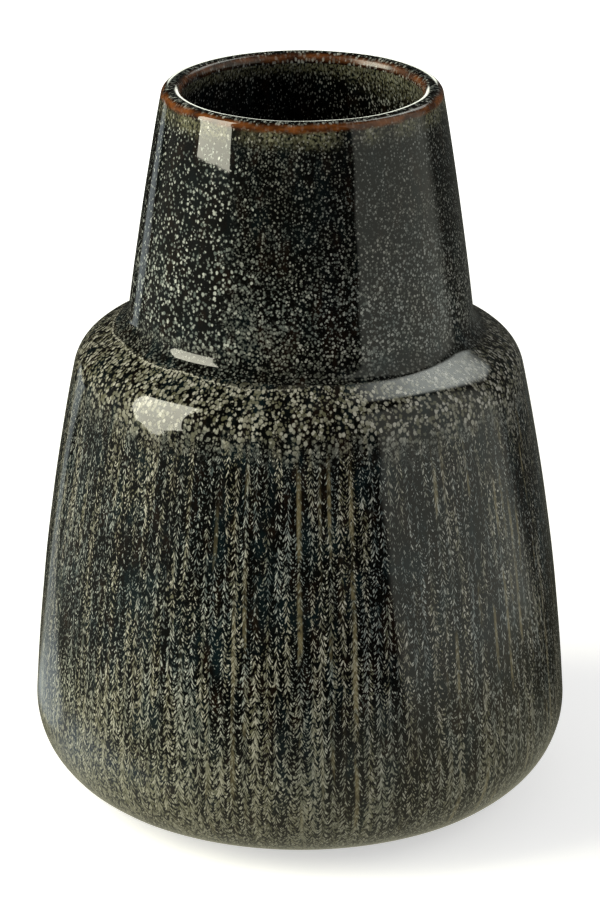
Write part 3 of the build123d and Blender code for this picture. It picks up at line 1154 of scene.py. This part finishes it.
def bright_patch(t, azimuth, elevation):
    """A bright patch behind the vase on the right, brighter towards its top."""
    patch = t.times(t.between(azimuth, *PATCH_SIDES), t.between(elevation, *PATCH_HEIGHTS))
    return t.times(patch, t.spread(t.soft_step(elevation, *PATCH_RISE), *PATCH_LEVELS))


def far_studio(t, azimuth, elevation, patch):
    """How bright the studio is: a screen on the right, a dim fill on the left and white paper behind."""
    screen = t.times(t.between(azimuth, *SCREEN_SIDES), t.soft_step(elevation, *SCREEN_TOP))
    fill = t.times(t.between(azimuth, *FILL_SIDES), t.soft_step(elevation, *FILL_TOP))
    paper = t.soft_step(t.math("ABSOLUTE", azimuth), *PAPER_SIDE)
    paper = t.times(paper, t.between(elevation, *PAPER_HEIGHTS))
    dim = t.between(azimuth, *DIM_SIDES)
    level = t.add(DARK_LEVEL, t.add(t.times(screen, SCREEN_LEVEL), t.times(fill, FILL_LEVEL)))
    return t.add(level, t.add(patch, t.add(t.times(paper, PAPER_LEVEL), t.times(dim, DIM_LEVEL))))


def surround_material():
    """What the glaze mirrors: the studio round the table, and the table itself near the vase."""
    material, t, shader, place = glowing_material("studio_surround")
    reach = reach_of(t, place)
    azimuth = t.times(t.math("ARCTAN2", place["X"], t.times(place["Y"], -1.0)), 180 / pi)
    elevation = t.times(t.math("ARCTAN2", place["Z"], reach), 180 / pi)
    patch = bright_patch(t, azimuth, elevation)
    far_level = far_studio(t, azimuth, elevation, patch)
    near_level = t.add(TABLE_LEVEL, t.times(t.soft_step(place["Y"], *TABLE_FRONT), TABLE_FRONT_LEVEL))
    shaded = t.soft_step(place["X"], *TABLE_SHADED)
    near = t.soft_step(reach, t.spread(shaded, *TABLE_OUTER_REACH), t.spread(shaded, *TABLE_INNER_REACH))
    level = t.blend_value(near, far_level, near_level)
    table = t.times(lit_table(t, place, azimuth, reach), t.soft_step(elevation, *TABLE_ELEVATION))
    color = t.blend(near, t.blend(patch, SURROUND_COLOR, PATCH_COLOR), TABLE_COLOR)
    color = t.blend(t.times(table, 2.0), color, LIT_TABLE_COLOR)
    t.feed(shader.inputs["Emission Color"], color)
    t.feed(shader.inputs["Emission Strength"], t.add(level, table))
    material.cycles.emission_sampling = "NONE"
    return material


def key_material():
    material, t, shader, place = glowing_material("key_panel")
    shader.inputs["Emission Color"].default_value = KEY_COLOR
    share = t.soft_step(place["Z"], *KEY_HEIGHTS)
    t.feed(shader.inputs["Emission Strength"], t.spread(share, KEY_LOW_LEVEL, KEY_HIGH_LEVEL))
    return material


def place_floor():
    disc("floor", [(FLOOR_HOLE, 0), (DISC_MIDDLE, 0), (FLOOR_RADIUS, 0)], floor_material())
    rings = [(SURROUND_HOLE, MM), (DISC_MIDDLE, MM)]
    for elevation in [*range(0, 90, SURROUND_STEP), SURROUND_TOP]:
        lift = radians(elevation)
        rings.append((SURROUND_RADIUS * cos(lift), MM + SURROUND_RADIUS * sin(lift)))
    only_mirrored(disc("studio_surround", rings, surround_material()))


def place_world():
    world = bpy.data.worlds.new("studio")
    bpy.context.scene.world = world
    world.use_nodes = True
    t = Tree(world.node_tree)
    background = world.node_tree.nodes["Background"]
    background.inputs["Color"].default_value = (1, 1, 1, 1)
    t.feed(background.inputs["Strength"], t.spread(seen_or_mirrored(t), WORLD_FILL, BACKDROP_LEVEL))


def toward(azimuth, elevation):
    """The direction to something round the vase, with the azimuth counted from the camera to the right."""
    turn, lift = radians(azimuth), radians(elevation)
    return Vector((sin(turn) * cos(lift), -cos(turn) * cos(lift), sin(lift)))


def key_panel():
    """The tall softbox on the left, leaning over the table."""
    corners = [KEY_TARGET + toward(*corner) * KEY_DISTANCE for corner in KEY_CORNERS]
    panel = linked("key_panel", new_mesh("key_panel", corners, [(0, 1, 2, 3)], key_material()))
    panel.visible_camera = False
    panel.visible_shadow = False


def side_lamp():
    """A large flat lamp that lights the right side, and that the glaze doesn't mirror."""
    data = bpy.data.lights.new("side_screen", "AREA")
    data.shape = "RECTANGLE"
    data.size = SIDE_LAMP_SIZE
    data.size_y = SIDE_LAMP_SIZE
    data.energy = 4 * SIDE_LAMP_SIZE * SIDE_LAMP_SIZE * SIDE_LAMP_RADIANCE
    lamp = linked("side_screen", data)
    away = toward(SIDE_LAMP_AZIMUTH, 0)
    lamp.location = SIDE_LAMP_TARGET + away * SIDE_LAMP_DISTANCE
    lamp.rotation_euler = away.to_track_quat("Z", "Y").to_euler()
    lamp.visible_camera = False
    lamp.visible_glossy = False


def place_camera():
    data = bpy.data.cameras.new("camera")
    data.lens = CAMERA_LENS
    data.sensor_width = CAMERA_SENSOR
    camera = linked("camera", data)
    away = Vector((0, -cos(CAMERA_ELEVATION), sin(CAMERA_ELEVATION)))
    camera.location = CAMERA_TARGET + away * CAMERA_DISTANCE
    camera.rotation_euler = away.to_track_quat("Z", "Y").to_euler()
    bpy.context.scene.camera = camera


place_coats()
dress_clay()
place_floor()
place_world()
key_panel()
side_lamp()
place_camera()
bpy.context.scene.view_settings.view_transform = "Standard"
